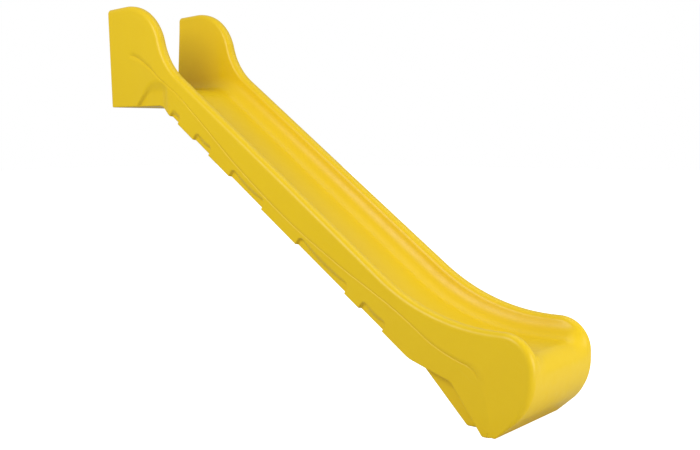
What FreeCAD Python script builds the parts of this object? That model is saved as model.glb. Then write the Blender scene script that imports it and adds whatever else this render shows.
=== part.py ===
"""Straight playground slide: a hollow, double-walled, rotationally moulded chute with moulded-in inserts.

Millimetres, +Z up. The slide runs down towards +X, Y goes across it, and the ground is Z = 0.
The outline is worked out from the deck face at x = 0, then everything is moved to the middle of its length.
"""

import FreeCAD, Part
import math
import os

V = FreeCAD.Vector

# Overall sizes
deck_height = 1524.0  # sitting surface at the deck, above the ground
exit_height = 360.0  # sitting surface at the exit, above the ground
slope_deg = 36.15  # fall of the sliding surface
platform_length = 412.0  # deck face to where the flat and the slope would meet
run_out_radius = 1100.0  # of the sitting surface, where the slope flattens out
run_out_flat = 201.0  # from the end of that bend to the nose

# Side walls
rail_height = 107.0  # above the sliding surface, square to the slope
exit_rail_height = 92.0  # above the run-out
body_depth = 195.5  # rail crest to underside, square to the slope
deck_face_depth = 94.0  # underside of the deck end, below the sitting surface
deck_corner_radius = 8.0
underside_radius = 60.0  # where the deck end's underside turns down the slope
ear_height = 450.0  # hand-hold ears, above the sitting surface
ear_length = 337.0  # deck face to where the ear's top and front would meet
ear_front_deg = 75.0  # steepness of the ear's front edge
ear_top_fall = 20.0  # towards the deck
ear_corner_radius = 15.0
ear_radius = 255.0  # over the top of the ear
notch_radius = 340.0  # where the ear's front meets the rail

# Trough
bed_width = 452.0  # between the walls
wall_thickness = 68.0  # each double wall, at the parting line
trough_radius = 105.0  # corner between the sitting surface and each wall
sill_radius = 250.0  # where the flat rolls over into the slope
exit_radius = 70.0
exit_fall = 6.0  # from the end of the slope to the nose
exit_overrun = 6.0  # how far past the nose the trough rolls over
outer_edge_radius = 22.0
inner_edge_radius = 18.0

# Draft of the outer side faces below the parting line
lower_draft_deg = 3.7
parting_top = (150.0, 156.0)  # from the deck face, and above the sitting surface
parting_foot = (210.0, 215.0)  # back from the nose, and above the ground

# Nose and foot
nose_radius = 120.0
nose_undercut = 174.0  # sole's front edge, behind the nose
nose_lip_height = 179.0  # where the nose's upright and undercut faces would meet
nose_lip_radius = 180.0
sole_edge_radius = 12.0
sole_length = 65.0
arch_back = 397.0  # top of the arch behind the foot, behind the nose
arch_height = 212.0
arch_radius = 60.0
heel_back = 617.0  # where the underside starts to flatten, behind the nose
heel_radius = 150.0
leg_inset = 50.0  # inner leg, inside each side face
leg_clearance = 19.0  # inner leg, above the ground
leg_sole_back = 332.0  # rear edge of the inner leg's sole, behind the nose
leg_top_back = 608.0
leg_top_height = 318.0
leg_front_back = 132.0  # the hidden front of the inner leg, behind the nose
leg_front_setback = 8.0  # its sole, behind the outer sole's front edge

# Recesses along the lower edge of each side face
recess_depth = 26.0
recess_height = 56.0
recess_radius = 27.0
recess_spans = ((0.047, 0.085), (0.154, 0.225), (0.313, 0.451), (0.588, 0.774), (0.825, 0.909))
ear_recess_length = 271.0
ear_recess_height = 140.0
ear_recess_end = 462.0
ear_recess_slant = 0.92  # its rear edge, lengthwise for each unit of height
ear_recess_rear_radius = 30.0
ear_recess_front_radius = 40.0

# Moulding
skin = 7.0

# Moulded-in threaded inserts
insert_flats = 17.0
insert_length = 25.0
insert_bore = 10.0
insert_bore_depth = 20.0
boss_wall = 7.0
lower_insert_drop = 44.0  # below the sitting surface
upper_insert_rise = 320.0  # above it
sill_insert_spacing = 260.0
foot_insert_spacing = 350.0

# Vent plug under the deck end
vent_x = 200.0
vent_radius = 10.0
vent_clearance = 0.15
vent_head_radius = 15.0
vent_head_thickness = 2.5

slope = math.radians(slope_deg)
fall = math.tan(slope)
run_out_x = platform_length + (deck_height - exit_height) / fall
nose_x = run_out_x + run_out_radius * math.tan(slope / 2) + run_out_flat
half_width = bed_width / 2 + wall_thickness
crest_lift = rail_height / math.cos(slope)
underside_drop = (body_depth - rail_height) / math.cos(slope)
deck_underside_z = deck_height - deck_face_depth
overlap = 60.0  # how far cutting shapes run past the body


def bed_line_z(x):
    return deck_height - (x - platform_length) * fall


def underside_x(z):
    """Where the sloping underside is at this height."""
    return platform_length + (deck_height - underside_drop - z) / fall


def on_side(x, z):
    return V(x, 0, z)


def corner_arc(before, corner, after, radius):
    """Start, middle and end of the arc that rounds a corner."""
    back = (before - corner).normalize()
    on = (after - corner).normalize()
    half = back.getAngle(on) / 2
    reach = radius / math.tan(half)
    middle = (back + on).normalize() * (radius / math.sin(half) - radius)
    return corner + back * reach, corner + middle, corner + on * reach


def rounded(corners, closed=True):
    """A wire through corners, each (point, radius), with tangent arcs at the corners."""
    points = [point for point, radius in corners]
    count = len(corners)
    stops = []
    for i, (point, radius) in enumerate(corners):
        at_end = not closed and i in (0, count - 1)
        if radius and not at_end:
            stops.append(corner_arc(points[i - 1], point, points[(i + 1) % count], radius))
        else:
            stops.append((point, None, point))
    edges = []
    for i, (start, middle, end) in enumerate(stops):
        if middle:
            edges.append(Part.Arc(start, middle, end).toShape())
        if i + 1 < count or closed:
            following = stops[(i + 1) % count][0]
            if end.distanceToPoint(following) > 0.01:
                edges.append(Part.LineSegment(end, following).toShape())
    return Part.Wire(edges)


def across(wire, reach):
    """The outline of a side, made solid across the slide to this far either side of the middle."""
    face = Part.Face(wire)
    face.translate(V(0, -reach, 0))
    return face.extrude(V(0, 2 * reach, 0))


def side_outline():
    crest_offset = deck_height + crest_lift + platform_length * fall
    steep = math.tan(math.radians(ear_front_deg))
    ear_top = deck_height + ear_height
    rail_exit_z = exit_height + exit_rail_height
    notch_x = (ear_top + ear_length * steep - crest_offset) / (steep - fall)
    heel_x = nose_x - heel_back
    heel_z = bed_line_z(heel_x) - underside_drop
    sole_front = nose_x - nose_undercut
    return rounded([
        (on_side(0, deck_underside_z), deck_corner_radius),
        (on_side(0, ear_top - ear_top_fall), ear_corner_radius),
        (on_side(ear_length, ear_top), ear_radius),
        (on_side(notch_x, crest_offset - notch_x * fall), notch_radius),
        (on_side((crest_offset - rail_exit_z) / fall, rail_exit_z), run_out_radius - rail_height),
        (on_side(nose_x, rail_exit_z), nose_radius),
        (on_side(nose_x, nose_lip_height), nose_lip_radius),
        (on_side(sole_front, 0), sole_edge_radius),
        (on_side(sole_front - sole_length, 0), sole_edge_radius),
        (on_side(nose_x - arch_back, arch_height), arch_radius),
        (on_side(heel_x, heel_z), heel_radius),
        (on_side(underside_x(deck_underside_z), deck_underside_z), underside_radius),
    ])


def leg_outline():
    sole_front = nose_x - nose_undercut
    return rounded([
        (on_side(nose_x - leg_top_back, leg_top_height), 0),
        (on_side(nose_x - leg_sole_back, leg_clearance), sole_edge_radius),
        (on_side(sole_front - leg_front_setback, leg_clearance), 0),
        (on_side(nose_x - leg_front_back, leg_top_height), 0),
    ])


def parting_line():
    top = on_side(parting_top[0], deck_height + parting_top[1])
    foot = on_side(nose_x - parting_foot[0], parting_foot[1])
    return top, (foot - top).normalize()


def draft_cutters(inset):
    """Wedges that lean both side faces inwards below the parting line."""
    top, along = parting_line()
    down = V(0, 1, 0).cross(along)
    depth = deck_height
    start = top - along * depth
    cutters = []
    for side in (-1, 1):
        widest = V(0, side * (half_width - inset), 0)
        outward = V(0, side * overlap, 0)
        lean = V(0, side * depth * math.tan(math.radians(lower_draft_deg)), 0)
        points = [widest, widest + outward, widest + outward + down * depth, widest - lean + down * depth]
        points = [start + point for point in points]
        face = Part.Face(Part.makePolygon(points + points[:1]))
        cutters.append(face.extrude(along * (nose_x * 2)))
    return cutters


def bed_path():
    return rounded([
        (on_side(-overlap, deck_height), 0),
        (on_side(platform_length, deck_height), sill_radius),
        (on_side(run_out_x, exit_height), run_out_radius),
        (on_side(nose_x + exit_overrun, exit_height - exit_fall), exit_radius),
        (on_side(nose_x + exit_overrun, 0), 0),
    ], closed=False)


def trough(grow):
    """The space between the walls: a round-cornered U carried along the sitting surface."""
    half = bed_width / 2 + grow
    low = deck_height - grow
    high = deck_height + ear_height + overlap
    section = rounded([
        (V(-overlap, -half, low), trough_radius + grow),
        (V(-overlap, half, low), trough_radius + grow),
        (V(-overlap, half, high), 0),
        (V(-overlap, -half, high), 0),
    ])
    return bed_path().makePipeShell([section], True, False)


def side_recesses(grow):
    """Shallow recesses along the lower edge of both side faces."""
    start = on_side(underside_x(deck_underside_z), deck_underside_z)
    end_x = nose_x - heel_back
    end = on_side(end_x, bed_line_z(end_x) - underside_drop)
    along = (end - start).normalize()
    up = V(0, -1, 0).cross(along)
    length = start.distanceToPoint(end)
    outlines = []
    for first, last in recess_spans:
        left = start + along * (first * length - grow)
        right = start + along * (last * length + grow)
        top = up * (recess_height + grow)
        outlines.append([
            (left - up * overlap, 0),
            (left + top, recess_radius + grow),
            (right + top, recess_radius + grow),
            (right - up * overlap, 0),
        ])
    outlines.append(ear_recess(grow))
    cutters = []
    for outline in outlines:
        face = Part.Face(rounded(outline))
        for side in (-1, 1):
            floor = face.copy()
            floor.translate(V(0, side * (half_width - recess_depth - grow), 0))
            cutters.append(floor.extrude(V(0, side * 2 * half_width, 0)))
    return cutters


def ear_recess(grow):
    """The larger recess between the flat mounting pad and the slope."""
    low = deck_underside_z - overlap
    high = deck_underside_z + ear_recess_height + grow
    left = ear_recess_end - ear_recess_length - grow
    return [
        (on_side(left - ear_recess_slant * overlap, low), 0),
        (on_side(left + ear_recess_slant * (high - deck_underside_z), high), ear_recess_rear_radius),
        (on_side(ear_recess_end + grow, high), ear_recess_front_radius),
        (on_side(ear_recess_end + grow, low - ear_recess_length), 0),
    ]


def middle(edge):
    return edge.valueAt((edge.FirstParameter + edge.LastParameter) / 2)


def is_rail(edge):
    """Whether an edge of the side outline is along the top of a wall."""
    at = middle(edge)
    return at.x > ear_corner_radius and at.z > max(bed_line_z(at.x), exit_height) - skin


def is_nose(edge):
    """Whether an edge of the side outline is on the nose, down to the sole."""
    at = middle(edge)
    return at.x > nose_x - nose_undercut and at.z > outer_edge_radius


def follows(edge, line):
    """Whether an edge of the body runs along this part of the side outline."""
    first, last = edge.Vertexes[0].Point, edge.Vertexes[-1].Point
    if on_side(first.x, first.z).distanceToPoint(on_side(last.x, last.z)) < 0.5:
        return False
    seen = [Part.Vertex(on_side(point.x, point.z)) for point in (first, middle(edge), last)]
    return all(line.distToShape(point)[0] < 0.3 for point in seen)


def body_inside(inset):
    """The whole body's shape, or what is left of it inside a skin of this thickness."""
    side = side_outline().makeOffset2D(-inset) if inset else side_outline()
    leg_side = leg_outline().makeOffset2D(-inset) if inset else leg_outline()
    block = across(side, half_width - inset)
    top = Part.Compound([edge for edge in side.Edges if is_rail(edge)])
    outer = Part.Compound([edge for edge in side.Edges if is_rail(edge) or is_nose(edge)])
    block = block.makeFillet(outer_edge_radius - inset, [e for e in block.Edges if follows(e, outer)])
    block = block.cut(Part.makeCompound(draft_cutters(inset)))
    leg = across(leg_side, half_width - leg_inset - inset)
    body = block.fuse(leg).cut(trough(inset))
    wall_middle = (bed_width + wall_thickness) / 2
    inner = [e for e in body.Edges if abs(middle(e).y) < wall_middle and follows(e, top)]
    body = body.makeFillet(inner_edge_radius - inset, inner)
    return body.cut(Part.makeCompound(side_recesses(inset)))


def insert_places():
    """Name, mouth and inward direction of each insert."""
    wall_middle = (bed_width + wall_thickness) / 2
    low = deck_height - lower_insert_drop
    high = deck_height + upper_insert_rise
    sole_middle = nose_x - nose_undercut - sole_length / 2
    inward, upward = V(1, 0, 0), V(0, 0, 1)
    places = []
    for side, name in ((1, "left"), (-1, "right")):
        places += [
            (f"deck_insert_{name}_lower", V(0, side * wall_middle, low), inward),
            (f"deck_insert_{name}_upper", V(0, side * wall_middle, high), inward),
            (f"sill_insert_{name}", V(0, side * sill_insert_spacing / 2, low), inward),
            (f"foot_insert_{name}", V(sole_middle, side * foot_insert_spacing / 2, 0), upward),
        ]
    return places


def hexagon(mouth, inward):
    """A hexagonal bar from the mouth inwards, with two flats facing along the slide's width."""
    across_corners = insert_flats / math.cos(math.pi / 6)
    points = []
    for i in range(7):
        turn = math.pi / 6 + i * math.pi / 3
        sideways = across_corners / 2 * math.cos(turn)
        other = across_corners / 2 * math.sin(turn)
        along = V(0, 0, 1) if inward.x else V(1, 0, 0)
        points.append(mouth + V(0, sideways, 0) + along * other)
    return Part.Face(Part.makePolygon(points)).extrude(inward * insert_length)


def insert(mouth, inward):
    bar = hexagon(mouth, inward)
    bore = Part.makeCylinder(insert_bore / 2, insert_bore_depth, mouth, inward)
    return bar.cut(bore)


def insert_bosses():
    radius = insert_flats / 2 + boss_wall
    length = insert_length + boss_wall
    return [Part.makeCylinder(radius, length, mouth, inward) for name, mouth, inward in insert_places()]


def vent_hole():
    return Part.makeCylinder(vent_radius + vent_clearance, 4 * skin, V(vent_x, 0, deck_underside_z - skin))


def vent_plug():
    head_base = V(vent_x, 0, deck_underside_z - vent_head_thickness)
    head = Part.makeCylinder(vent_head_radius, vent_head_thickness, head_base)
    stem = Part.makeCylinder(vent_radius, skin + vent_head_thickness, head_base)
    return head.fuse(stem).removeSplitter()


def chute_shell():
    cavity = body_inside(skin).cut(Part.makeCompound(insert_bosses()))
    shell = body_inside(0).cut(cavity)
    sockets = [hexagon(mouth, inward) for name, mouth, inward in insert_places()]
    return shell.cut(Part.makeCompound(sockets + [vent_hole()]))


def save(name, shape):
    shape.translate(V(-nose_x / 2, 0, 0))
    shape.exportStep(f"parts/{name}.step")
    print(name, len(shape.Solids), "solid", round(shape.Volume), "cubic mm")


def main():
    os.makedirs("parts", exist_ok=True)
    save("chute_shell", chute_shell())
    save("vent_plug", vent_plug())
    for name, mouth, inward in insert_places():
        save(name, insert(mouth, inward))


main()
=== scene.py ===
"""Straight playground slide: the moulded chute, its brass inserts and vent plug, and a studio to see them in.

Lengths are in metres. The slide runs down towards +X, Y goes across it, and the ground is Z = 0.
"""

import math

import bmesh
import bpy
from bpy.props import FloatProperty, FloatVectorProperty, PointerProperty
from mathutils import Matrix, Vector


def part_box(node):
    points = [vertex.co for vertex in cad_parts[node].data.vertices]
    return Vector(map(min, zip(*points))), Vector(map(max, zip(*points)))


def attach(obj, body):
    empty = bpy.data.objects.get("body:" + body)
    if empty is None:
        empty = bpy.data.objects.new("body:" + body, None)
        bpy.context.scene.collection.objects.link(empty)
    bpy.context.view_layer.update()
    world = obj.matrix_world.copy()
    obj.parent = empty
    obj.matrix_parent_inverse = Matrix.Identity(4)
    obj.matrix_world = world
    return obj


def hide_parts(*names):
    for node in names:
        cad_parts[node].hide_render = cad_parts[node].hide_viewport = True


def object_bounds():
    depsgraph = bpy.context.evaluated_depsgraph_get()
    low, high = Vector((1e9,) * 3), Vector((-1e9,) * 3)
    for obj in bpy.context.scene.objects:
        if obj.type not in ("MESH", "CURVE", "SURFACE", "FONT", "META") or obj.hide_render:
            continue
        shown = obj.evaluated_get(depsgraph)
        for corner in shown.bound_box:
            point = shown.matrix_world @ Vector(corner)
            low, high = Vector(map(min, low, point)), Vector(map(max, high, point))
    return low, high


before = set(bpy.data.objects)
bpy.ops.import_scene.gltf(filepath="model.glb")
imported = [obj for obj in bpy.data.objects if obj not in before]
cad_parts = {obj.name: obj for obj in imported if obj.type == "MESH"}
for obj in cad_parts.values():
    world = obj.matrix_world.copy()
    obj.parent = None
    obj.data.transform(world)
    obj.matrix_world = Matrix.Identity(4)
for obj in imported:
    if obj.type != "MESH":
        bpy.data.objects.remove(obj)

bl_info = {
    "name": "Playground slide",
    "version": (1, 0, 0),
    "blender": (4, 5, 0),
    "location": "3D View > Sidebar > Slide",
    "description": "Builds a moulded straight slide around its packed frame",
    "category": "Object",
}

CAD_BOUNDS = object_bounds()
DECK_X = CAD_BOUNDS[0].x
NOSE_X = CAD_BOUNDS[1].x
TOP_Z = CAD_BOUNDS[1].z
HALF_WIDTH = CAD_BOUNDS[1].y
DECK_INSERTS = [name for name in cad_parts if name.startswith(("deck_insert", "sill_insert"))]
FOOT_INSERTS = [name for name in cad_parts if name.startswith("foot_insert")]

# Where the underside is matched with the crest's bends: at two shares of the flat deck end for the ear's top,
# and this far past the heel and the arch
EAR_TOP_SHARES = (0.39, 0.80)
PAST_HEEL = 0.175
PAST_ARCH = 0.054

# First and last end of each recess, as shares of the sloping underside
SPANS = ((0.047, 0.085), (0.154, 0.225), (0.313, 0.451), (0.588, 0.774), (0.825, 0.909))
# How far past a recess's ends it is looked for, and the heights between which its top edge turns soft
RECESS_MARGIN = 0.05
RECESS_TURNS_SOFT = (0.01, 0.03)
# The recess below the ear: length of its front fade, the height up to which it has its full depth, and how
# its rear edge widens upwards
EAR_RECESS_FADE = 0.07
EAR_RECESS_FULL = 0.07
PAD_EDGE_SPREAD = 0.25

# Height of the parting line up the side face, as a share, by distance along the rail crest
PARTING = (
    (0.0, 0.56), (0.20, 0.53), (0.40, 0.52), (0.59, 0.63), (0.76, 0.72), (0.94, 0.65), (1.35, 0.42),
    (1.75, 0.36), (2.10, 0.51), (2.44, 0.71), (2.88, 0.40), (3.16, 0.35), (3.70, 0.45),
)
# Distances along the rail crest: where the ear's spread gives way to the rail's draft, and the groove's ends
EAR_TO_RAIL = (0.15, 0.75)
GROOVE_START = (0.14, 0.22)
GROOVE_END = (3.08, 3.20)

# Lines of the mesh above the lower edge, closest where the recesses end, and the most they take of the way
# up to the parting line
LOWER_LINES = (
    0.004, 0.009, 0.015, 0.021, 0.026, 0.031, 0.036, 0.040, 0.044, 0.048, 0.052, 0.057, 0.063, 0.072,
)
LOWER_SHARE = 0.92

# Faces of the mesh round each part of the half section
EDGE_STEPS = 4
FACE_STEPS = 8
CROWN_STEPS = 8
WALL_STEPS = 5
TROUGH_STEPS = 11
UNDER_SHARES = (0.0, 0.4, 0.75, 0.92)
BED_SHARES = (0.75, 0.5, 0.25, 0.0)
# The groove's half width is at most the first share of the face below it. Between its middle and its edges
# lies a line of the mesh, at the second share
GROOVE_LIMIT = 0.2
GROOVE_LINE = 0.4
# An inner wall that turns less than the angle is flat. From the share of its height down, it lets go of the
# rail's slant
FLAT_ANGLE = 1e-4
WALL_SETTLES = 0.3
TINY = 1e-6

# Distances between half sections: plain, on the ears' front, past the run-out, and at the finest
PLAIN_GAP = 0.0125
EAR_GAP = 0.008
NOSE_GAP = 0.0075
FINE_GAP = 0.0028
# They stay fine this far round a recess's end, and then widen at this rate
FINE_REACH = 0.016
GAP_GROWTH = 0.35
# They turn fine this far before the sole's front edge, and stop this close to the end
SOLE_LEAD = 0.02
LAST_GAP = 0.001
# The first plain half section stands this many rear radii from the deck face
FIRST_STATION = 1.3

# How deep an open end is, along its axis
END_REACH = 0.02
# The most sides of the slivers that the pockets' cut leaves open
SLIVER_SIDES = 6
# How far a pocket's cutter stands out of the mouth, in clearances
CUTTER_LEAD = 10

# Corners of the inner leg behind the nose, and its top corners' heights above the arch
LEG_TOP_REAR = (0.608, 0.085)
LEG_FOOT_REAR = 0.340
LEG_FOOT_FRONT = 0.182
LEG_TOP_FRONT = (0.140, 0.075)

# Soft boxes: where each stands, the point that it faces and the length of its side
KEY_BOX = ((4.4, 0.4, 0.9), (0.9, 0.0, 0.4), 2.4)
TOP_BOX = ((1.0, 1.4, 4.4), (0.0, 0.0, 0.9), 3.0)
SIDE_BOX = ((-0.2, -4.4, 3.7), (0.0, 0.0, 1.0), 2.6)
SENSOR_WIDTH = 36.0
FAR_LIMIT = 100.0


def length(name, description, default):
    return FloatProperty(
        name=name, description=description, default=default, min=0.0, unit="LENGTH", precision=4
    )


def angle(name, description, degrees):
    return FloatProperty(name=name, description=description, default=math.radians(degrees), unit="ROTATION")


def amount(name, description, default, unit="NONE"):
    return FloatProperty(name=name, description=description, default=default, min=0.0, unit=unit)


def colour(name, description, default):
    return FloatVectorProperty(
        name=name, description=description, default=default, size=3, subtype="COLOR", min=0.0, max=1.0
    )


class SlideShape(bpy.types.PropertyGroup):
    """Sizes along the chute, in the plane of its side."""

    overall_length: length("Overall length", "Deck face to the front of the nose", NOSE_X - DECK_X)
    deck_height: length("Deck height", "Sitting surface at the deck, above the ground", 1.524)
    exit_height: length("Exit height", "Sitting surface at the exit, above the ground", 0.360)
    slope: angle("Slope", "Fall of the sitting surface", 36.15)
    platform_length: length("Platform length", "Deck face to where flat and slope would meet", 0.412)
    sill_radius: length("Sill radius", "Where the flat rolls over into the slope", 0.250)
    run_out_radius: length("Run-out radius", "Where the slope flattens out", 1.100)
    exit_radius: length("Exit radius", "Where the sitting surface rolls over the nose", 0.085)
    exit_fall: length("Exit fall", "From the run-out to the roll over the nose", 0.006)
    exit_merge: length("Exit merge", "Where the rails have faded out on the nose, above the ground", 0.2695)
    rail_height: length("Rail height", "Wall above the sitting surface, square to the slope", 0.107)
    exit_rail_height: length("Exit rail height", "Wall above the run-out", 0.092)
    body_depth: length("Body depth", "Rail crest to underside, square to the slope", 0.1995)
    deck_face_depth: length("Deck face depth", "Sitting surface to underside at the deck", 0.094)
    ear_length: length("Ear length", "Deck face to where the ear's top and front would meet", 0.337)
    ear_top: length("Ear top", "Where the ear's top and front would meet, above the ground", 1.974)
    ear_top_fall: length("Ear top fall", "How much lower the ear is at the deck", 0.020)
    ear_front: angle("Ear front", "Steepness of the ear's front edge", 75.0)
    ear_radius: length("Ear radius", "Over the top of the ear", 0.255)
    notch_radius: length("Notch radius", "Where the ear's front meets the rail", 0.340)
    nose_radius: length("Nose radius", "Front end of each rail", 0.150)
    nose_lip_height: length("Nose lip height", "Where upright and undercut faces would meet", 0.150)
    nose_lip_radius: length("Nose lip radius", "Between the upright and the undercut face", 0.260)
    nose_undercut: length("Nose undercut", "Sole's front edge, behind the nose", 0.174)
    sole_length: length("Sole length", "Along the ground", 0.065)
    sole_radius: length("Sole radius", "Front and rear edges of the sole", 0.012)
    sole_gap: length("Sole gap", "Half the width of the flat patch that closes the sole", 0.0270)
    arch_back: length("Arch back", "Top of the arch behind the foot, behind the nose", 0.397)
    arch_height: length("Arch height", "Top of the arch, above the ground", 0.212)
    heel_back: length("Heel back", "Where the underside starts to flatten, behind the nose", 0.617)
    underside_radius: length("Underside radius", "Where the deck end turns down the slope", 0.060)
    heel_radius: length("Heel radius", "Where the underside starts to flatten", 0.150)
    arch_radius: length("Arch radius", "Top of the arch", 0.060)


class SlideSection(bpy.types.PropertyGroup):
    """Sizes across the chute."""

    half_width: length("Half width", "Middle of the slide to the parting line", HALF_WIDTH)
    crown_inner: length("Crown inner edge", "Middle of the slide to where a rail rolls inwards", 0.256)
    outer_radius: length("Outer radius", "Outer edge of each rail", 0.027)
    bed_flat: length("Bed flat", "Middle of the slide to where the sitting surface starts to rise", 0.136)
    crown_share: amount("Crown share", "Rail's share of the inner curve", 0.25)
    crown_hold: length("Crown hold", "How far down the inner wall still follows the rail's own slant", 0.08)
    inner_steepness: angle("Inner steepness", "Steepest slant of the inner walls", 87.0)
    ear_lean: angle("Ear lean", "How far the ears' outer faces spread upwards at the deck", 1.9)
    upper_lean: angle("Upper lean", "Draft of the outer faces above the parting line", 1.5)
    lower_lean: angle("Lower lean", "Draft of the outer faces below the parting line", 2.8)
    underside_flat: length("Underside flat", "Middle of the slide to the start of the lower edge", 0.25)
    bottom_radius: length("Bottom radius", "Lower edges", 0.006)
    rear_radius: length("Rear radius", "Edges of the deck face", 0.005)
    recess_depth: length("Recess depth", "Recesses along the lower edge", 0.018)
    recess_height: length("Recess height", "Recesses above the lower edge", 0.054)
    recess_radius: length("Recess radius", "Upper corners of the recesses", 0.027)
    recess_edge: length("Recess edge", "Width of the step at the ends of a recess", 0.006)
    recess_softness: length("Recess softness", "Extra width of the step along the middle of its top", 0.035)
    pad_length: length("Pad length", "Mounting pad along the deck's lower edge", 0.191)
    pad_slant: amount("Pad slant", "Its front edge, lengthwise for each unit up", 0.92)
    pad_edge: length("Pad edge", "Width of the step at its front edge", 0.016)
    ear_recess_end: length("Ear recess end", "Deck face to the front end of the recess below the ear", 0.462)
    ear_recess_height: length("Ear recess height", "Above the deck's underside", 0.14)
    groove_depth: length("Groove depth", "Parting line", 0.0030)
    groove_width: length("Groove width", "Half the width of the parting line", 0.0030)
    pocket_clearance: length("Pocket clearance", "Round the threaded inserts", 0.0002)
    mouth_proud: length("Mouth proud", "How far the inserts stand out of the deck face and the sole", 0.0004)
    leg_half_width: length("Leg half width", "Inner leg", 0.244)
    leg_clearance: length("Leg clearance", "Inner leg above the ground", 0.019)
    leg_radius: length("Leg radius", "Edges of the inner leg", 0.010)


class SlideLook(bpy.types.PropertyGroup):
    """Colours."""

    plastic: colour("Plastic", "Colour right through the moulding", (0.80, 0.550, 0.008))
    plastic_shade: colour("Plastic shade", "Where the pigment lies thicker", (0.77, 0.510, 0.007))
    plastic_rub: colour("Plastic rub", "Hairlines where the skin is rubbed", (0.84, 0.66, 0.08))
    brass: colour("Brass", "Threaded inserts", (0.78, 0.57, 0.25))
    brass_dull: colour("Dull brass", "Where the inserts have dulled", (0.55, 0.38, 0.16))
    plug: colour("Plug", "Vent plug", (0.028, 0.028, 0.030))
    plug_grey: colour("Plug grey", "Paler flow marks in the plug", (0.05, 0.05, 0.052))
    floor: colour("Floor", "Studio floor", (0.60, 0.60, 0.60))


class SlideStudio(bpy.types.PropertyGroup):
    """Floor, lights and camera."""

    floor_size: length("Floor size", "Side of the floor", 60.0)
    floor_glow: amount("Floor glow", "The floor's own light, which only the camera sees", 1.8)
    ambient: amount("Ambient", "Light from all round", 0.50)
    backdrop: amount("Backdrop", "Brightness behind the slide", 1.0)
    key_power: amount("Key power", "Soft box in front of the nose", 84.0, unit="POWER")
    top_power: amount("Top power", "Soft box overhead", 30.0, unit="POWER")
    side_power: amount("Side power", "Soft box on the near side", 136.0, unit="POWER")
    lens: amount("Lens", "Focal length in millimetres", 54.22)
    place: FloatVectorProperty(
        name="Camera place", description="Where the camera stands", default=(3.2529, -4.0893, 1.2759),
        unit="LENGTH",
    )
    azimuth: angle("Azimuth", "Camera's turn from the side towards the nose", 37.36)
    elevation: angle("Elevation", "How far the camera looks down", 4.91)
    roll: angle("Roll", "Camera's lean", -0.34)


# Outlines in the plane of the side, as (x, z) with x from the deck face


class Outline:
    """A line through corners, each (x, z, radius), with tangent arcs at the corners."""

    def __init__(self, corners):
        self.parts = []
        points = [Vector(corner[:2]) for corner in corners]
        start = points[0]
        for i in range(1, len(points) - 1):
            back = (points[i - 1] - points[i]).normalized()
            on = (points[i + 1] - points[i]).normalized()
            half = back.angle(on) / 2
            radius = corners[i][2]
            reach = radius / math.tan(half)
            centre = points[i] + (back + on).normalized() * (radius / math.sin(half))
            self.add_line(start, points[i] + back * reach)
            self.add_arc(centre, points[i] + back * reach, points[i] + on * reach)
            start = points[i] + on * reach
        self.add_line(start, points[-1])
        self.length = sum(part[0] for part in self.parts)

    def add_line(self, start, end):
        self.parts.append(((end - start).length, start, (end - start).normalized(), None, 0.0))

    def add_arc(self, centre, start, end):
        first, last = start - centre, end - centre
        sweep = math.atan2(first.x * last.y - first.y * last.x, first.dot(last))
        self.parts.append((abs(sweep) * first.length, centre, first, sweep, first.length))

    def at(self, distance):
        """The point this far along, and the direction of travel there."""
        distance = min(max(distance, 0.0), self.length)
        for reach, origin, toward, sweep, radius in self.parts:
            if distance <= reach or (reach, origin) == self.parts[-1][:2]:
                break
            distance -= reach
        if sweep is None:
            return origin + toward * distance, toward
        turned = Matrix.Rotation(sweep * distance / reach, 2) @ toward
        heading = Vector((-turned.y, turned.x)) / radius * math.copysign(1.0, sweep)
        return origin + turned, heading

    def ends(self):
        """How far along each part ends."""
        total, stops = 0.0, [0.0]
        for part in self.parts:
            total += part[0]
            stops.append(total)
        return stops

    def nearest(self, point):
        """How far along the nearest place to a point is."""
        best, passed = (1e9, 0.0), 0.0
        for reach, origin, toward, sweep, radius in self.parts:
            if sweep is None:
                along = min(max((point - origin).dot(toward), 0.0), reach)
            else:
                arm = point - origin
                turn = math.atan2(toward.x * arm.y - toward.y * arm.x, toward.dot(arm))
                share = min(max(turn / sweep, 0.0), 1.0)
                along = share * reach
            found = self.at(passed + along)[0]
            best = min(best, ((found - point).length, passed + along))
            passed += reach
        return best[1]


def smooth(value, low, high):
    """0 below low, 1 above high, eased between."""
    share = min(max((value - low) / (high - low), 0.0), 1.0)
    return share * share * (3 - 2 * share)


def piecewise(keys, value):
    """Straight runs through (place, value) keys."""
    for (place, start), (following, end) in zip(keys, keys[1:]):
        if value <= following:
            break
    return start + (end - start) * (value - place) / (following - place)


def curved(keys, value):
    """A smooth curve through (place, value) keys."""
    last = len(keys) - 2
    i = next((k for k in range(last + 1) if value <= keys[k + 1][0]), last)
    before, start, end, after = keys[max(i - 1, 0)], keys[i], keys[i + 1], keys[min(i + 2, last + 1)]
    run = end[0] - start[0]
    share = min(max((value - start[0]) / run, 0.0), 1.0)
    leave = (end[1] - before[1]) / (end[0] - before[0]) * run
    arrive = (after[1] - start[1]) / (after[0] - start[0]) * run
    rise = end[1] - start[1]
    square, cube = 3 * rise - 2 * leave - arrive, leave + arrive - 2 * rise
    return start[1] + share * (leave + share * (square + share * cube))


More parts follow.
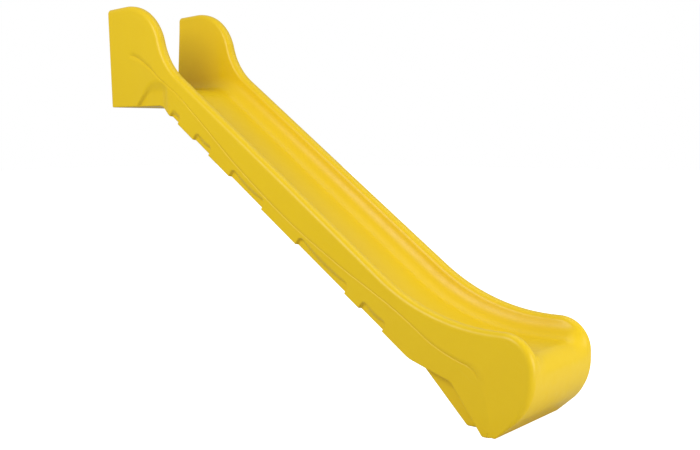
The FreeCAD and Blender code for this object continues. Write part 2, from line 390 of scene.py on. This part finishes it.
class SideView:
    """The rail crest, the sitting surface and the underside, matched point for point down the slide."""

    def __init__(self, shape):
        self.shape = shape
        fall = math.tan(shape.slope)
        nose = shape.overall_length
        bed_line = shape.deck_height + fall * shape.platform_length
        crest_line = bed_line + shape.rail_height / math.cos(shape.slope)
        under_line = crest_line - shape.body_depth / math.cos(shape.slope)
        exit_crest = shape.exit_height + shape.exit_rail_height
        ear_fall = math.tan(shape.ear_front)
        ear_foot = (shape.ear_top + ear_fall * shape.ear_length - crest_line) / (ear_fall - fall)
        under_deck = shape.deck_height - shape.deck_face_depth
        heel = nose - shape.heel_back
        self.sole_front = nose - shape.nose_undercut
        self.sole_rear = self.sole_front - shape.sole_length
        middle = (self.sole_front + self.sole_rear) / 2
        self.slope_top = (under_line - under_deck) / fall
        self.slope_foot = heel
        self.crest = Outline([
            (0, shape.ear_top - shape.ear_top_fall, 0),
            (shape.ear_length, shape.ear_top, shape.ear_radius),
            (ear_foot, crest_line - fall * ear_foot, shape.notch_radius),
            ((crest_line - exit_crest) / fall, exit_crest, shape.run_out_radius - shape.rail_height),
            (nose, exit_crest, shape.nose_radius),
            (nose, shape.nose_lip_height, shape.nose_lip_radius),
            (self.sole_front, 0, shape.sole_radius),
            (middle + shape.sole_gap, 0, 0),
        ])
        self.bed = Outline([
            (0, shape.deck_height, 0),
            (shape.platform_length, shape.deck_height, shape.sill_radius),
            ((bed_line - shape.exit_height) / fall, shape.exit_height, shape.run_out_radius),
            (nose, shape.exit_height - shape.exit_fall, shape.exit_radius),
            (nose, shape.exit_merge, 0),
        ])
        self.under = Outline([
            (0, under_deck, 0),
            (self.slope_top, under_deck, shape.underside_radius),
            (heel, under_line - fall * heel, shape.heel_radius),
            (nose - shape.arch_back, shape.arch_height, shape.arch_radius),
            (self.sole_rear, 0, shape.sole_radius),
            (middle - shape.sole_gap, 0, 0),
        ])
        crest, under = self.crest.ends(), self.under.ends()
        # Distances down the crest and down the underside that belong to one half section
        self.pairs = [
            (0.0, 0.0),
            (crest[1], EAR_TOP_SHARES[0] * under[1]),
            (crest[2], EAR_TOP_SHARES[1] * under[1]),
            (crest[4], self.under.nearest(self.crest.at(crest[4])[0])),
            (crest[5], self.under.nearest(self.crest.at(crest[5])[0])),
            (crest[6], under[4] + PAST_HEEL),
            ((crest[7] + crest[8]) / 2, (under[5] + under[6]) / 2),
            ((crest[8] + crest[9]) / 2, under[6] + PAST_ARCH),
            (crest[12], under[8]),
            (crest[13], under[9]),
        ]

    def station(self, along):
        """Crest, sitting surface and underside here, each with the direction straight out of the body."""
        crest, heading = self.crest.at(along)
        crest_out = Vector((-heading.y, heading.x))
        place = self.bed.nearest(crest)
        bed, heading = self.bed.at(place)
        bed_out = Vector((-heading.y, heading.x))
        if place > self.bed.length - TINY or crest.y < self.shape.exit_merge:
            bed, bed_out = crest, crest_out
        under, heading = self.under.at(piecewise(self.pairs, along))
        return crest, crest_out, bed, bed_out, under, Vector((heading.y, -heading.x))


def rounded_box(across, up, half_length, height, radius):
    """How far outside a rounded rectangle that stands on up = 0 a point is, less than 0 inside."""
    over = Vector((abs(across) - half_length + radius, up - height + radius))
    outside = Vector((max(over.x, 0), max(over.y, 0))).length
    return outside + min(max(over.x, over.y), 0) - radius


class Recesses:
    """How deep the outer side faces are set back along their lower edges."""

    def __init__(self, view, shape, section):
        self.section = section
        self.deck_z = shape.deck_height - shape.deck_face_depth
        self.along = Vector((math.cos(shape.slope), -math.sin(shape.slope)))
        self.start = Vector((view.slope_top, self.deck_z))
        reach = (view.slope_foot - view.slope_top) / math.cos(shape.slope)
        self.spans = [(first * reach, last * reach) for first, last in SPANS]

    def places(self, view):
        """Where each recess starts and ends, as distances along the rail crest."""
        backwards = [(under, crest) for crest, under in view.pairs]
        ends = [view.under.nearest(self.start + self.along * end) for span in self.spans for end in span]
        return [piecewise(backwards, end) for end in ends]

    def depth(self, point):
        section = self.section
        local = point - self.start
        across = local.dot(self.along)
        up = local.dot(Vector((-self.along.y, self.along.x)))
        most = 0.0
        for first, last in self.spans:
            if first - RECESS_MARGIN < across < last + RECESS_MARGIN:
                half = (last - first) / 2
                offset = across - first - half
                outside = rounded_box(offset, up, half, section.recess_height, section.recess_radius)
                middle = max(0.0, 1 - (offset / half) ** 2)
                soft = section.recess_edge + section.recess_softness * middle * smooth(up, *RECESS_TURNS_SOFT)
                most = max(most, section.recess_depth * smooth(-outside, 0, soft))
        height = point.y - self.deck_z
        back = section.pad_length + section.pad_slant * height
        ahead = smooth(point.x - back, 0, section.pad_edge + PAD_EDGE_SPREAD * max(height, 0))
        behind = 1 - smooth(point.x, section.ear_recess_end - EAR_RECESS_FADE, section.ear_recess_end)
        below = 1 - smooth(height, EAR_RECESS_FULL, section.ear_recess_height)
        return max(most, section.recess_depth * ahead * behind * below)


def crossing(along, view, recesses, shape, section):
    """The half section at this station, as (point in the side view, distance from the middle) pairs.

    It runs from the middle of the underside round to the middle of the sitting surface.
    """
    crest, crest_out, bed, bed_out, under, under_out = view.station(along)
    shrink = smooth(crest.y, 0.0, shape.nose_lip_height)
    outer = section.bottom_radius + (section.outer_radius - section.bottom_radius) * shrink
    bottom = section.bottom_radius
    high = crest - crest_out * outer
    low = under - under_out * bottom
    depth = max((high - low).length, TINY)
    parting = depth * curved(PARTING, along)
    fit = min(1.0, LOWER_SHARE * parting / LOWER_LINES[-1])

    rail = smooth(along, *EAR_TO_RAIL)
    ear_parting = section.half_width - (depth - parting) * math.tan(section.ear_lean)
    widest = ear_parting + (section.half_width - ear_parting) * rail
    rise = -math.tan(section.ear_lean) + (math.tan(section.upper_lean) + math.tan(section.ear_lean)) * rail
    drop = math.tan(section.ear_lean) + (math.tan(section.lower_lean) - math.tan(section.ear_lean)) * rail

    def side(distance):
        """Half width of the side face this far above its lower edge."""
        above = distance - parting
        return widest - max(above, 0.0) * rise + min(above, 0.0) * drop

    points = [(under, share * section.underside_flat) for share in UNDER_SHARES]
    foot = side(0.0) - recesses.depth(low)
    for step in range(EDGE_STEPS + 1):
        turn = math.pi / 2 * step / EDGE_STEPS
        points.append((low + under_out * bottom * math.cos(turn), foot - bottom * (1 - math.sin(turn))))
    groove = min(section.groove_width, GROOVE_LIMIT * parting)
    inner = GROOVE_LINE * groove
    distances = [line * fit for line in LOWER_LINES]
    last = distances[-1]
    steps = range(1, FACE_STEPS + 1)
    distances += [last + (parting - groove - last) * step / (FACE_STEPS + 1) for step in steps]
    distances += [parting - groove, parting - inner, parting, parting + inner, parting + groove]
    distances += [parting + groove + (depth - parting - groove) * step / FACE_STEPS for step in steps]
    fade = smooth(along, *GROOVE_START) * (1 - smooth(along, *GROOVE_END))
    for distance in distances:
        point = low.lerp(high, distance / depth)
        cut = section.groove_depth * fade * max(0.0, 1 - abs(distance - parting) / groove)
        points.append((point, side(distance) - recesses.depth(point) - cut))
    crown = side(depth) - outer
    for step in range(1, CROWN_STEPS + 1):
        turn = math.pi / 2 * step / CROWN_STEPS
        points.append((high + crest_out * outer * math.sin(turn), crown + outer * math.cos(turn)))

    # The inner wall: an arc off the crown, a straight run where it is high enough, and the trough's corner
    height = (crest - bed).length
    width = section.crown_inner - section.bed_flat
    steepest = section.inner_steepness
    turn = min(2 * math.atan2(height, width), steepest)
    straight, total = 0.0, width / math.sin(turn) if turn > FLAT_ANGLE else 0.0
    if turn >= steepest:
        total = (width * math.sin(turn) - height * math.cos(turn)) / (1 - math.cos(turn))
        straight = (height - total * (1 - math.cos(turn))) / math.sin(turn)
    upper, lower = total * section.crown_share, total * (1 - section.crown_share)
    profile = []
    for step in range(CROWN_STEPS + 1):
        bend = turn * step / CROWN_STEPS
        across = section.crown_inner - upper * math.sin(bend)
        profile.append((across, height - upper * (1 - math.cos(bend))))
    top = profile[-1]
    for step in range(1, WALL_STEPS + 1):
        reach = straight * step / WALL_STEPS
        profile.append((top[0] - reach * math.cos(turn), top[1] - reach * math.sin(turn)))
    for step in range(1, TROUGH_STEPS + 1):
        bend = turn * (1 - step / TROUGH_STEPS)
        profile.append((section.bed_flat + lower * math.sin(bend), lower * (1 - math.cos(bend))))
    if turn <= FLAT_ANGLE:
        count = len(profile)
        profile = [(section.crown_inner - width * step / (count - 1), 0.0) for step in range(count)]
    tall = max(height, TINY)
    for across, above in profile:
        below = height - above
        near_crest = crest - crest_out * below
        near_bed = bed + bed_out * above
        held = (1 - smooth(below, WALL_SETTLES * tall, tall)) / (1 + (below / section.crown_hold) ** 2)
        points.append((near_crest.lerp(near_bed, 1 - held), across))
    points += [(bed, section.bed_flat * share) for share in BED_SHARES]
    return points


def stations(crest, recess_ends):
    """Places down the crest: close together on its bends and at the recesses' ends, wider elsewhere."""
    places, along = [0.0], 0.0
    stops = crest.ends()
    while along < crest.length - LAST_GAP:
        gap = PLAIN_GAP
        for place in recess_ends:
            gap = min(gap, FINE_GAP + GAP_GROWTH * max(0.0, abs(along - place) - FINE_REACH))
        if stops[1] < along < stops[4]:
            gap = min(gap, EAR_GAP)
        if along > stops[7]:
            gap = min(gap, NOSE_GAP)
        if along > stops[11] - SOLE_LEAD:
            gap = FINE_GAP
        along = min(along + gap, crest.length)
        places.append(along)
    return places


# Making the pieces


def placed(point, across):
    """A point of the side view, this far from the middle, in the frame."""
    return Vector((point.x + DECK_X, across, point.y))


def half_sections(shape, section):
    """Every half section from the deck face to the sole, as rows of points in the frame."""
    view = SideView(shape)
    recesses = Recesses(view, shape, section)
    rows = []
    radius = section.rear_radius
    turns = [math.pi / 2 * step / EDGE_STEPS for step in range(EDGE_STEPS + 1)]
    rolled = [(radius * (1 - math.cos(turn)), radius * (1 - math.sin(turn))) for turn in turns]
    plain = stations(view.crest, recesses.places(view))
    rest = [(along, 0.0) for along in plain if along > radius * FIRST_STATION]
    for along, inset in rolled + rest:
        row = [placed(*point) for point in crossing(along, view, recesses, shape, section)]
        if inset:
            row = inwards(row, inset)
        for point in row:
            point.x = max(point.x, DECK_X + section.mouth_proud)
            point.z = min(max(point.z, section.mouth_proud), TOP_Z)
        rows.append(row)
    return rows


def inwards(row, inset):
    """A section in the deck face's plane, shrunk by this much all round."""
    moved = []
    for i, point in enumerate(row):
        run = row[min(i + 1, len(row) - 1)] - row[max(i - 1, 0)]
        out = Vector((0, run.z, -run.y)).normalized()
        if i == 0 or i == len(row) - 1:
            out.y = 0
        moved.append(point - out.normalized() * inset)
    return moved


def close_end(bm, axis):
    """Closes one open end with a flat face."""
    rim = [edge for edge in bm.edges if edge.is_boundary]
    limit = min(vert.co[axis] for edge in rim for vert in edge.verts) + END_REACH
    rim = [edge for edge in rim if all(vert.co[axis] < limit for vert in edge.verts)]
    closed = bmesh.ops.contextual_create(bm, geom=rim)
    for face in closed["faces"]:
        face.smooth = False


def pocket_cutters(section):
    """Six-sided bars, one for each threaded insert, a little wider and longer than it."""
    bm = bmesh.new()
    for name in DECK_INSERTS + FOOT_INSERTS:
        axis = 0 if name in DECK_INSERTS else 2
        low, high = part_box(name)
        size = high - low
        pointed = max((i for i in range(3) if i != axis), key=lambda i: size[i])
        inward = Vector([1.0 if i == axis else 0.0 for i in range(3)])
        corner = Vector([1.0 if i == pointed else 0.0 for i in range(3)])
        turn = Matrix((corner, inward.cross(corner), inward)).transposed().to_4x4()
        mouth = (low + high) / 2
        mouth[axis] = low[axis] - section.pocket_clearance * CUTTER_LEAD
        ring = bmesh.ops.create_circle(
            bm, cap_ends=True, segments=6, radius=size[pointed] / 2 + section.pocket_clearance,
            matrix=Matrix.Translation(mouth) @ turn,
        )
        end = ring["verts"][0].link_faces[0]
        grown = bmesh.ops.extrude_face_region(bm, geom=[end])["geom"]
        moved = [item for item in grown if isinstance(item, bmesh.types.BMVert)]
        reach = size[axis] + section.pocket_clearance * (CUTTER_LEAD + 1)
        bmesh.ops.translate(bm, verts=moved, vec=inward * reach)
    return bm


def loose_object(bm, name):
    """An object for a working mesh, with its faces turned outwards."""
    bmesh.ops.recalc_face_normals(bm, faces=bm.faces)
    mesh = bpy.data.meshes.new(name)
    bm.to_mesh(mesh)
    bm.free()
    made = bpy.data.objects.new(name, mesh)
    bpy.context.scene.collection.objects.link(made)
    return made


def carved(bm, cutters):
    """The first mesh with the second cut out of it, and the slivers that the cut leaves open closed."""
    blank, tool = loose_object(bm, "blank"), loose_object(cutters, "cutters")
    cut = blank.modifiers.new("pockets", "BOOLEAN")
    cut.operation = "DIFFERENCE"
    cut.solver = "EXACT"
    cut.object = tool
    done = blank.evaluated_get(bpy.context.evaluated_depsgraph_get())
    result = bmesh.new()
    result.from_mesh(done.data)
    gaps = [edge for edge in result.edges if edge.is_boundary]
    bmesh.ops.holes_fill(result, edges=gaps, sides=SLIVER_SIDES)
    for working in (blank, tool):
        mesh = working.data
        bpy.data.objects.remove(working)
        bpy.data.meshes.remove(mesh)
    return result


def inner_leg(bm, shape, section):
    """The inner leg, a bevelled block between the side faces, as a closed form of its own."""
    nose = shape.overall_length
    corners = [
        (nose - LEG_TOP_REAR[0], shape.arch_height + LEG_TOP_REAR[1]),
        (nose - LEG_FOOT_REAR, section.leg_clearance),
        (nose - LEG_FOOT_FRONT, section.leg_clearance),
        (nose - LEG_TOP_FRONT[0], shape.arch_height + LEG_TOP_FRONT[1]),
    ]
    verts = [bm.verts.new(placed(Vector(corner), -section.leg_half_width)) for corner in corners]
    side = bm.faces.new(verts)
    grown = bmesh.ops.extrude_face_region(bm, geom=[side])["geom"]
    moved = [item for item in grown if isinstance(item, bmesh.types.BMVert)]
    bmesh.ops.translate(bm, verts=moved, vec=(0, 2 * section.leg_half_width, 0))
    block = verts + moved
    edges = list({edge for vert in block for edge in vert.link_edges})
    bmesh.ops.bevel(
        bm, geom=edges, offset=section.leg_radius, affect="EDGES", segments=4, profile=0.5, material=-1,
        clamp_overlap=True,
    )


def finished(bm, name, material):
    """The mesh as an object at the origin, in its material."""
    piece = loose_object(bm, name)
    piece.data.materials.append(material)
    return piece


# Materials


def group(name, inputs, outputs):
    """An empty node group with these sockets, and its input and output nodes."""
    tree = bpy.data.node_groups.new(name, "ShaderNodeTree")
    for socket, kind, default in inputs:
        made = tree.interface.new_socket(socket, in_out="INPUT", socket_type=kind)
        if default is not None:
            made.default_value = default
    for socket, kind in outputs:
        tree.interface.new_socket(socket, in_out="OUTPUT", socket_type=kind)
    return tree, tree.nodes.new("NodeGroupInput"), tree.nodes.new("NodeGroupOutput")


def noise(tree, vector, scale, detail, roughness=0.5):
    node = tree.nodes.new("ShaderNodeTexNoise")
    node.inputs["Scale"].default_value = scale
    node.inputs["Detail"].default_value = detail
    node.inputs["Roughness"].default_value = roughness
    tree.links.new(vector, node.inputs["Vector"])
    return node.outputs["Fac"]


def remap(tree, value, low, high, to_low=0.0, to_high=1.0):
    node = tree.nodes.new("ShaderNodeMapRange")
    node.inputs["From Min"].default_value = low
    node.inputs["From Max"].default_value = high
    node.inputs["To Min"].default_value = to_low
    node.inputs["To Max"].default_value = to_high
    tree.links.new(value, node.inputs["Value"])
    return node.outputs["Result"]


def maths(tree, operation, first, second):
    node = tree.nodes.new("ShaderNodeMath")
    node.operation = operation
    for socket, value in zip(node.inputs, (first, second)):
        if isinstance(value, float):
            socket.default_value = value
        else:
            tree.links.new(value, socket)
    return node.outputs["Value"]


def moulded_skin():
    """Node group: the grain and the slow unevenness of a moulded plastic skin."""
    tree, take, give = group(
        "moulded_skin",
        [
            ("Vector", "NodeSocketVector", None),
            ("Grain", "NodeSocketFloat", 1.0),
            ("Cloud", "NodeSocketFloat", 1.0),
        ],
        [("Height", "NodeSocketFloat"), ("Tone", "NodeSocketFloat"), ("Gloss", "NodeSocketFloat")],
    )
    vector = take.outputs["Vector"]
    fine = noise(tree, vector, scale=420.0, detail=2.0)
    peel = noise(tree, vector, scale=95.0, detail=2.0)
    cloud = remap(tree, noise(tree, vector, scale=3.2, detail=4.0, roughness=0.55), low=0.3, high=0.7)
    fleck = remap(tree, noise(tree, vector, scale=26.0, detail=5.0, roughness=0.65), low=0.35, high=0.65)
    height = maths(tree, "ADD", maths(tree, "MULTIPLY", fine, 0.35), peel)
    tree.links.new(maths(tree, "MULTIPLY", height, take.outputs["Grain"]), give.inputs["Height"])
    tone = maths(tree, "ADD", maths(tree, "MULTIPLY", cloud, 0.7), maths(tree, "MULTIPLY", fleck, 0.3))
    tree.links.new(maths(tree, "MULTIPLY", tone, take.outputs["Cloud"]), give.inputs["Tone"])
    tree.links.new(fleck, give.inputs["Gloss"])
    return tree


def fine_scuffs():
    """Node group: faint hairlines along X, broken up so that they come and go."""
    tree, take, give = group(
        "fine_scuffs",
        [("Vector", "NodeSocketVector", None), ("Amount", "NodeSocketFloat", 1.0)],
        [("Mask", "NodeSocketFloat")],
    )
    stretch = tree.nodes.new("ShaderNodeMapping")
    stretch.inputs["Scale"].default_value = (0.035, 1.0, 1.0)
    tree.links.new(take.outputs["Vector"], stretch.inputs["Vector"])
    drawn_out = noise(tree, stretch.outputs["Vector"], scale=240.0, detail=3.0, roughness=0.6)
    lines = remap(tree, drawn_out, low=0.60, high=0.72)
    patches = remap(tree, noise(tree, take.outputs["Vector"], scale=5.0, detail=2.0), low=0.48, high=0.66)
    mask = maths(tree, "MULTIPLY", maths(tree, "MULTIPLY", lines, patches), take.outputs["Amount"])
    tree.links.new(mask, give.inputs["Mask"])
    return tree


def shared(name, build):
    return bpy.data.node_groups.get(name) or build()


def material_base(name, colour):
    material = bpy.data.materials.new(name)
    material.use_nodes = True
    material.diffuse_color = (*colour, 1.0)
    tree = material.node_tree
    shader = next(node for node in tree.nodes if node.type == "BSDF_PRINCIPLED")
    coordinates = tree.nodes.new("ShaderNodeTexCoord")
    return material, tree, shader, coordinates.outputs["Object"]


def put_group(tree, group_tree, vector, **values):
    node = tree.nodes.new("ShaderNodeGroup")
    node.node_tree = group_tree
    tree.links.new(vector, node.inputs["Vector"])
    for name, value in values.items():
        node.inputs[name].default_value = value
    return node


def mix_colours(tree, factor, first, second):
    node = tree.nodes.new("ShaderNodeMix")
    node.data_type = "RGBA"
    tree.links.new(factor, node.inputs["Factor"])
    for socket, value in ((node.inputs["A"], first), (node.inputs["B"], second)):
        if isinstance(value, bpy.types.NodeSocket):
            tree.links.new(value, socket)
        else:
            socket.default_value = (*value, 1.0)
    return node.outputs["Result"]


def bump(tree, shader, height, distance, strength):
    node = tree.nodes.new("ShaderNodeBump")
    node.inputs["Distance"].default_value = distance
    node.inputs["Strength"].default_value = strength
    tree.links.new(height, node.inputs["Height"])
    tree.links.new(node.outputs["Normal"], shader.inputs["Normal"])


def moulded_plastic(look, slope):
    """Golden polyethylene with a slight skin grain, cloudy pigment and faint rubs that run down the slope."""
    material, tree, shader, vector = material_base("golden polyethylene", look.plastic)
    turned = tree.nodes.new("ShaderNodeMapping")
    turned.inputs["Rotation"].default_value = (0.0, -slope, 0.0)
    tree.links.new(vector, turned.inputs["Vector"])
    skin = put_group(tree, shared("moulded_skin", moulded_skin), vector, Grain=1.0, Cloud=0.55)
    scuffs = put_group(tree, shared("fine_scuffs", fine_scuffs), turned.outputs["Vector"], Amount=0.30)
    tone = mix_colours(tree, skin.outputs["Tone"], look.plastic, look.plastic_shade)
    rubbed = mix_colours(tree, scuffs.outputs["Mask"], tone, look.plastic_rub)
    tree.links.new(rubbed, shader.inputs["Base Color"])
    gloss = remap(tree, skin.outputs["Gloss"], low=0.0, high=1.0, to_low=0.30, to_high=0.38)
    rough = maths(tree, "ADD", gloss, maths(tree, "MULTIPLY", scuffs.outputs["Mask"], 0.25))
    tree.links.new(rough, shader.inputs["Roughness"])
    shader.inputs["Specular IOR Level"].default_value = 0.30
    bump(tree, shader, skin.outputs["Height"], distance=0.0006, strength=0.35)
    return material


def turned_brass(look):
    """Brass that has been machined and has dulled a little."""
    material, tree, shader, vector = material_base("machined brass", look.brass)
    skin = put_group(tree, shared("moulded_skin", moulded_skin), vector, Grain=0.4, Cloud=1.0)
    scuffs = put_group(tree, shared("fine_scuffs", fine_scuffs), vector, Amount=0.8)
    tone = mix_colours(tree, skin.outputs["Tone"], look.brass, look.brass_dull)
    tree.links.new(tone, shader.inputs["Base Color"])
    gloss = remap(tree, skin.outputs["Gloss"], low=0.0, high=1.0, to_low=0.24, to_high=0.42)
    rough = maths(tree, "ADD", gloss, maths(tree, "MULTIPLY", scuffs.outputs["Mask"], 0.2))
    tree.links.new(rough, shader.inputs["Roughness"])
    shader.inputs["Metallic"].default_value = 1.0
    bump(tree, shader, skin.outputs["Height"], distance=0.0002, strength=0.3)
    return material


def plug_plastic(look):
    """Matte black plastic with an even moulded grain."""
    material, tree, shader, vector = material_base("black plug plastic", look.plug)
    skin = put_group(tree, shared("moulded_skin", moulded_skin), vector, Grain=1.0, Cloud=1.0)
    tone = mix_colours(tree, skin.outputs["Tone"], look.plug, look.plug_grey)
    tree.links.new(tone, shader.inputs["Base Color"])
    gloss = remap(tree, skin.outputs["Gloss"], low=0.0, high=1.0, to_low=0.5, to_high=0.68)
    tree.links.new(gloss, shader.inputs["Roughness"])
    bump(tree, shader, skin.outputs["Height"], distance=0.0004, strength=0.5)
    return material


def refinish(names, material):
    """Gives kept nodes a new material in their own slots."""
    for name in names:
        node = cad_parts[name]
        if not node.material_slots:
            node.data.materials.append(material)
        for slot in node.material_slots:
            slot.material = material


# Operators


class SLIDE_OT_body(bpy.types.Operator):
    """Make the moulded chute: rails, sitting surface, ears, foot and inner leg in one shell"""

    bl_idname = "slide.body"
    bl_label = "Moulded chute"

    def execute(self, context):
        scene = context.scene
        shape, section, look = scene.slide_shape, scene.slide_section, scene.slide_look
        rows = half_sections(shape, section)
        bm = bmesh.new()
        last_row, last_line = len(rows) - 1, len(rows[0]) - 1
        # A flat grid one unit wide, so that a corner's place in it says which row and line it belongs to
        bmesh.ops.create_grid(bm, x_segments=last_row, y_segments=last_line, size=0.5)
        for vert in bm.verts:
            row = round((vert.co.x + 0.5) * last_row)
            line = round((vert.co.y + 0.5) * last_line)
            vert.co = rows[row][line]
        whole = bm.verts[:] + bm.edges[:] + bm.faces[:]
        bmesh.ops.mirror(bm, geom=whole, matrix=Matrix.Identity(4), merge_dist=TINY, axis="Y")
        for face in bm.faces:
            face.smooth = True
        close_end(bm, 0)
        close_end(bm, 2)
        bm = carved(bm, pocket_cutters(section))
        inner_leg(bm, shape, section)
        open_edges = [edge for edge in bm.edges if not edge.is_manifold]
        if open_edges:
            raise RuntimeError(f"the chute has {len(open_edges)} open edges")
        piece = finished(bm, "moulded_chute", moulded_plastic(look, shape.slope))
        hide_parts("chute_shell")
        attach(piece, "root")
        return {"FINISHED"}


class SLIDE_OT_inserts(bpy.types.Operator):
    """Finish the threaded inserts in the deck face and the sole"""

    bl_idname = "slide.inserts"
    bl_label = "Threaded inserts"

    def execute(self, context):
        refinish(DECK_INSERTS + FOOT_INSERTS, turned_brass(context.scene.slide_look))
        return {"FINISHED"}


class SLIDE_OT_plug(bpy.types.Operator):
    """Finish the vent plug under the deck end"""

    bl_idname = "slide.plug"
    bl_label = "Vent plug"

    def execute(self, context):
        refinish(["vent_plug"], plug_plastic(context.scene.slide_look))
        return {"FINISHED"}


class SLIDE_OT_studio(bpy.types.Operator):
    """Make the floor, the lights and the camera"""

    bl_idname = "slide.studio"
    bl_label = "Studio"

    def execute(self, context):
        scene = context.scene
        look, studio = scene.slide_look, scene.slide_studio
        bm = bmesh.new()
        bmesh.ops.create_grid(bm, x_segments=1, y_segments=1, size=studio.floor_size / 2)
        material, tree, shader, _ = material_base("studio floor", look.floor)
        shader.inputs["Base Color"].default_value = (*look.floor, 1.0)
        shader.inputs["Roughness"].default_value = 0.9
        shader.inputs["Specular IOR Level"].default_value = 0.1
        shader.inputs["Emission Color"].default_value = (*look.floor, 1.0)
        seen = tree.nodes.new("ShaderNodeLightPath").outputs["Is Camera Ray"]
        glow = remap(tree, seen, low=0.0, high=1.0, to_low=0.0, to_high=studio.floor_glow)
        tree.links.new(glow, shader.inputs["Emission Strength"])
        floor = finished(bm, "studio_floor", material)

        world = bpy.data.worlds.new("studio")
        world.use_nodes = True
        background = next(node for node in world.node_tree.nodes if node.type == "BACKGROUND")
        background.inputs["Color"].default_value = (1.0, 1.0, 1.0, 1.0)
        sky = world.node_tree
        seen = sky.nodes.new("ShaderNodeLightPath").outputs["Is Camera Ray"]
        strength = remap(sky, seen, low=0.0, high=1.0, to_low=studio.ambient, to_high=studio.backdrop)
        sky.links.new(strength, background.inputs["Strength"])
        scene.world = world
        scene.view_settings.view_transform = "Standard"

        soft_box("key_light", *KEY_BOX, studio.key_power)
        soft_box("top_light", *TOP_BOX, studio.top_power)
        soft_box("side_light", *SIDE_BOX, studio.side_power)

        azimuth, elevation, roll = studio.azimuth, studio.elevation, studio.roll
        toward = Vector((
            -math.sin(azimuth) * math.cos(elevation),
            math.cos(azimuth) * math.cos(elevation),
            -math.sin(elevation),
        ))
        right = toward.cross(Vector((0, 0, 1))).normalized()
        up = right.cross(toward)
        turned_right = right * math.cos(roll) + up * math.sin(roll)
        turned_up = up * math.cos(roll) - right * math.sin(roll)
        lens = bpy.data.cameras.new("camera")
        lens.lens = studio.lens
        lens.sensor_width = SENSOR_WIDTH
        lens.clip_end = FAR_LIMIT
        camera = bpy.data.objects.new("camera", lens)
        camera.matrix_world = Matrix.Translation(studio.place) @ Matrix(
            (turned_right, turned_up, -toward)
        ).transposed().to_4x4()
        scene.collection.objects.link(camera)
        scene.camera = camera
        return {"FINISHED"}


def soft_box(name, place, target, size, power):
    """A large square area light that faces a point."""
    light = bpy.data.lights.new(name, "AREA")
    light.shape = "SQUARE"
    light.size = size
    light.energy = power
    lamp = bpy.data.objects.new(name, light)
    lamp.location = place
    lamp.rotation_euler = (Vector(target) - Vector(place)).to_track_quat("-Z", "Y").to_euler()
    bpy.context.scene.collection.objects.link(lamp)


class SLIDE_PT_panel(bpy.types.Panel):
    """Sizes, colours and the buttons that make each piece"""

    bl_idname = "SLIDE_PT_panel"
    bl_label = "Playground slide"
    bl_space_type = "VIEW_3D"
    bl_region_type = "UI"
    bl_category = "Slide"

    def draw(self, context):
        for operator in OPERATORS:
            self.layout.operator(operator.bl_idname)
        for name in SETTINGS:
            settings = getattr(context.scene, name)
            box = self.layout.box()
            for key in type(settings).__annotations__:
                box.prop(settings, key)


OPERATORS = (SLIDE_OT_body, SLIDE_OT_inserts, SLIDE_OT_plug, SLIDE_OT_studio)
SETTINGS = {
    "slide_shape": SlideShape,
    "slide_section": SlideSection,
    "slide_look": SlideLook,
    "slide_studio": SlideStudio,
}


def register():
    for cls in (*SETTINGS.values(), *OPERATORS, SLIDE_PT_panel):
        bpy.utils.register_class(cls)
    for name, cls in SETTINGS.items():
        setattr(bpy.types.Scene, name, PointerProperty(type=cls))


def unregister():
    for name in SETTINGS:
        delattr(bpy.types.Scene, name)
    for cls in reversed((*SETTINGS.values(), *OPERATORS, SLIDE_PT_panel)):
        bpy.utils.unregister_class(cls)


def main():
    register()
    bpy.ops.slide.body()
    bpy.ops.slide.inserts()
    bpy.ops.slide.plug()
    bpy.ops.slide.studio()


if __name__ == "__main__":
    main()
